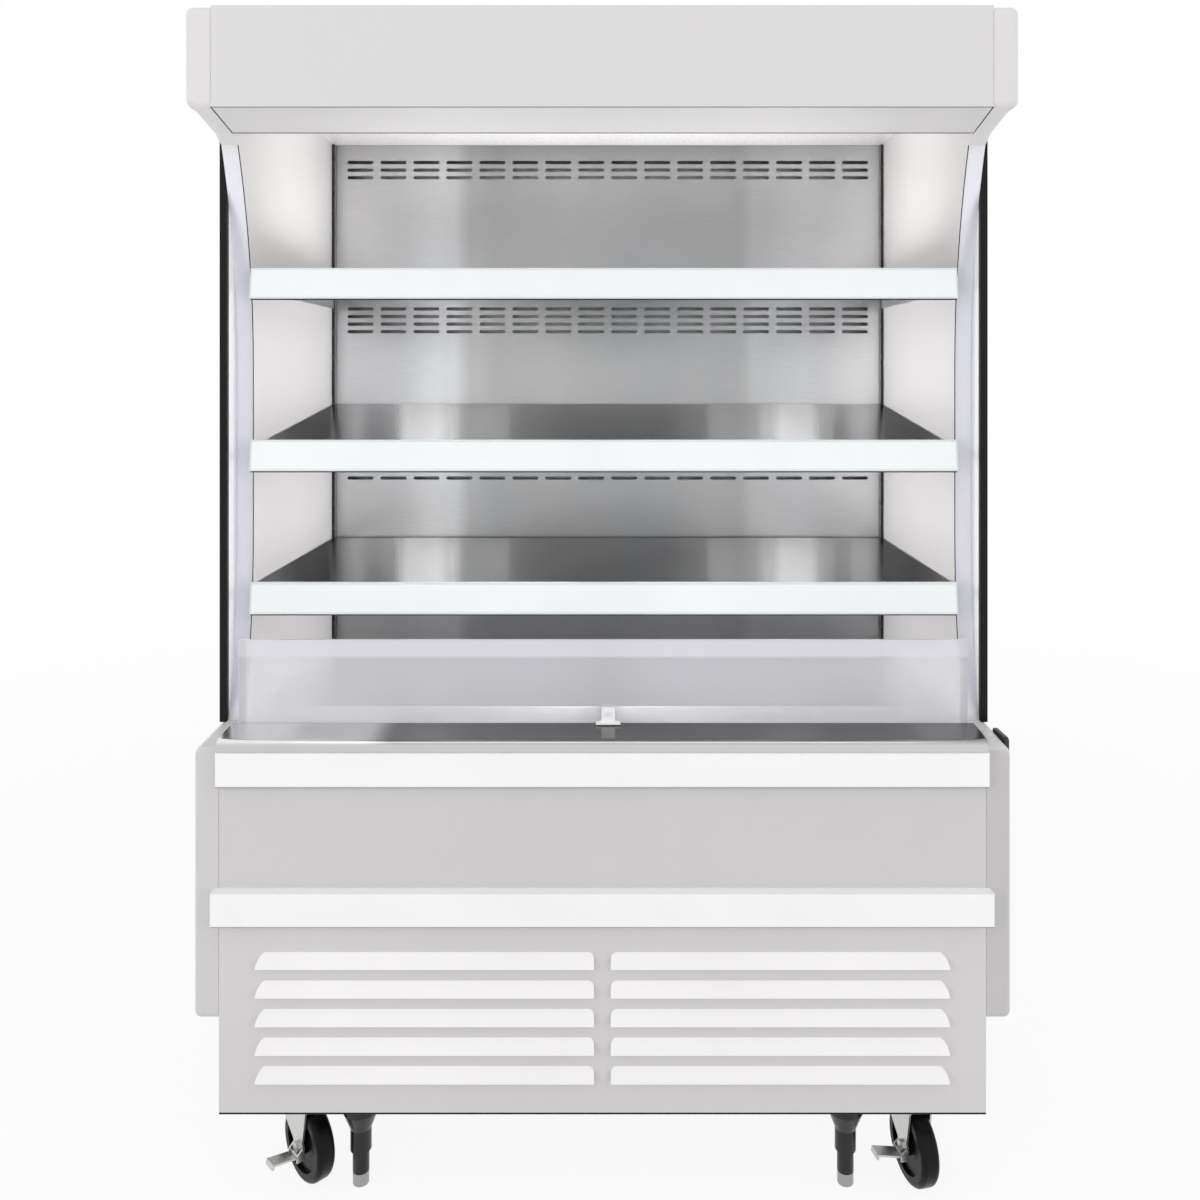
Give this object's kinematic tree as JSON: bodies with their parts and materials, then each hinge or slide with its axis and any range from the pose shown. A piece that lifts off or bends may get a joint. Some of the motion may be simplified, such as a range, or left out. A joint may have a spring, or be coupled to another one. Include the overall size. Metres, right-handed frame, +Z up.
{
  "type": "open multideck display fridge",
  "caption": "Open-front refrigerated display cabinet with a canopy, tilted shelves with price rails, a clear front guard, a louvred lower panel, casters and levelling legs.",
  "frame": {"origin": "on the floor, under the middle of the cabinet's footprint, where the casters stand", "axes": "+Z up; +Y from the open front to the back; +X to the right of a shopper who faces the open front"},
  "size_m": [1.2297, 0.75, 1.791],
  "materials": {
    "white_paint": "semi-gloss",
    "liner_paint": "satin",
    "stainless": "brushed",
    "rail_white": "gloss",
    "bumper_white": "satin",
    "clear_glass": "clear",
    "clear_guard": "clear",
    "black_trim": "satin",
    "post_white": "satin",
    "lamp_white": "diffusing",
    "white_plastic": "matte",
    "galvanised": "spangled zinc",
    "zinc": "bright zinc plate",
    "aluminium_fins": "bare",
    "copper": "bare copper",
    "black_enamel": "gloss",
    "black_steel": "satin",
    "bright_steel": "turned",
    "black_rubber": "matte",
    "black_plastic": "matte",
    "fan_plastic": "satin"
  },
  "bodies": {
    "cabinet": {"end_panel_left": "white_paint", "end_panel_right": "white_paint", "end_glass": "clear_glass", "edge_trims": "black_trim", "rear_wall": "galvanised", "roof_panel": "white_paint", "canopy_fascia": "white_paint", "canopy_soffit": "white_paint", "canopy_lamp": "lamp_white", "air_honeycomb": "white_plastic", "ceiling_panel": "liner_paint", "back_panel": "stainless", "shelf_uprights": "stainless", "shelf_1": "stainless", "shelf_2": "stainless", "shelf_3": "stainless", "price_rail_1": "rail_white", "price_rail_2": "rail_white", "price_rail_3": "rail_white", "shelf_brackets": "stainless", "deck_pan": "stainless", "return_grille": "liner_paint", "front_guard": "clear_guard", "guard_holders": "post_white", "top_rail": "stainless", "bumper_upper": "bumper_white", "bumper_lower": "bumper_white", "front_panel": "white_paint", "louvre_panel": "white_paint", "base_frame": "galvanised", "rear_cover": "galvanised", "insulated_tub": "galvanised", "fan_plates": "galvanised", "fan_motors": "black_plastic", "evaporator_coil": "aluminium_fins", "condenser_coil": "aluminium_fins", "compressor": "black_enamel", "refrigerant_lines": "copper", "condensate_pan": "galvanised", "control_box": "galvanised", "power_inlet": "black_plastic", "caster_plates": "zinc", "leg_bodies": "black_steel", "switch_housing": "black_plastic"},
    "evaporator_fan_1": {"evaporator_fan_1": "fan_plastic"},
    "evaporator_fan_2": {"evaporator_fan_2": "fan_plastic"},
    "condenser_fan": {"condenser_fan": "fan_plastic"},
    "caster_fork_1": {"caster_fork_1": "zinc"},
    "caster_fork_2": {"caster_fork_2": "zinc"},
    "caster_fork_3": {"caster_fork_3": "zinc"},
    "caster_fork_4": {"caster_fork_4": "zinc"},
    "caster_wheel_1": {"caster_wheel_1": "black_rubber"},
    "caster_wheel_2": {"caster_wheel_2": "black_rubber"},
    "caster_wheel_3": {"caster_wheel_3": "black_rubber"},
    "caster_wheel_4": {"caster_wheel_4": "black_rubber"},
    "caster_brake_1": {"caster_brake_1": "zinc"},
    "caster_brake_2": {"caster_brake_2": "zinc"},
    "leg_foot_1": {"leg_foot_1": "bright_steel"},
    "leg_foot_2": {"leg_foot_2": "bright_steel"},
    "switch_rocker": {"switch_rocker": "black_plastic"}
  },
  "joints": [
    {"name": "caster_swivel_1", "type": "hinge", "parent": "cabinet", "child": "caster_fork_1", "pos_m": [-0.478, -0.245, 0.14], "axis": [0, 0, 1], "continuous": true},
    {"name": "wheel_spin_1", "type": "hinge", "parent": "caster_fork_1", "child": "caster_wheel_1", "pos_m": [-0.45961, -0.26338, 0.057], "axis": [-0.7071, -0.7071, 0], "continuous": true},
    {"name": "caster_swivel_2", "type": "hinge", "parent": "cabinet", "child": "caster_fork_2", "pos_m": [0.478, -0.245, 0.14], "axis": [0, 0, 1], "continuous": true},
    {"name": "wheel_spin_2", "type": "hinge", "parent": "caster_fork_2", "child": "caster_wheel_2", "pos_m": [0.48385, -0.27033, 0.057], "axis": [-0.9744, -0.225, 0], "continuous": true},
    {"name": "caster_swivel_3", "type": "hinge", "parent": "cabinet", "child": "caster_fork_3", "pos_m": [-0.478, 0.29, 0.14], "axis": [0, 0, 1], "continuous": true},
    {"name": "wheel_spin_3", "type": "hinge", "parent": "caster_fork_3", "child": "caster_wheel_3", "pos_m": [-0.45961, 0.27161, 0.057], "axis": [-0.7071, -0.7071, 0], "continuous": true},
    {"name": "caster_swivel_4", "type": "hinge", "parent": "cabinet", "child": "caster_fork_4", "pos_m": [0.478, 0.29, 0.14], "axis": [0, 0, 1], "continuous": true},
    {"name": "wheel_spin_4", "type": "hinge", "parent": "caster_fork_4", "child": "caster_wheel_4", "pos_m": [0.48385, 0.26467, 0.057], "axis": [-0.9744, -0.225, 0], "continuous": true},
    {"name": "brake_press_1", "type": "hinge", "parent": "caster_fork_1", "child": "caster_brake_1", "pos_m": [-0.47623, -0.28, 0.046], "axis": [0.7071, -0.7071, 0], "range_deg": [0, 20]},
    {"name": "brake_press_2", "type": "hinge", "parent": "caster_fork_2", "child": "caster_brake_2", "pos_m": [0.46095, -0.27562, 0.046], "axis": [0.225, -0.9744, 0], "range_deg": [0, 20]},
    {"name": "leg_screw_1", "type": "slide", "parent": "cabinet", "child": "leg_foot_1", "axis": [0, 0, -1], "range_m": [0, 0.025]},
    {"name": "leg_screw_2", "type": "slide", "parent": "cabinet", "child": "leg_foot_2", "axis": [0, 0, -1], "range_m": [0, 0.025]},
    {"name": "evaporator_fan_spin_1", "type": "hinge", "parent": "cabinet", "child": "evaporator_fan_1", "pos_m": [-0.28, 0.046, 0.585], "axis": [0, 1, 0], "continuous": true},
    {"name": "evaporator_fan_spin_2", "type": "hinge", "parent": "cabinet", "child": "evaporator_fan_2", "pos_m": [0.28, 0.046, 0.585], "axis": [0, 1, 0], "continuous": true},
    {"name": "condenser_fan_spin", "type": "hinge", "parent": "cabinet", "child": "condenser_fan", "pos_m": [-0.32, -0.214, 0.3], "axis": [0, 1, 0], "continuous": true},
    {"name": "switch_rock", "type": "hinge", "parent": "cabinet", "child": "switch_rocker", "pos_m": [0.615, -0.2885, 0.687], "axis": [0, 0, 1], "range_deg": [0, 12]}
  ]
}
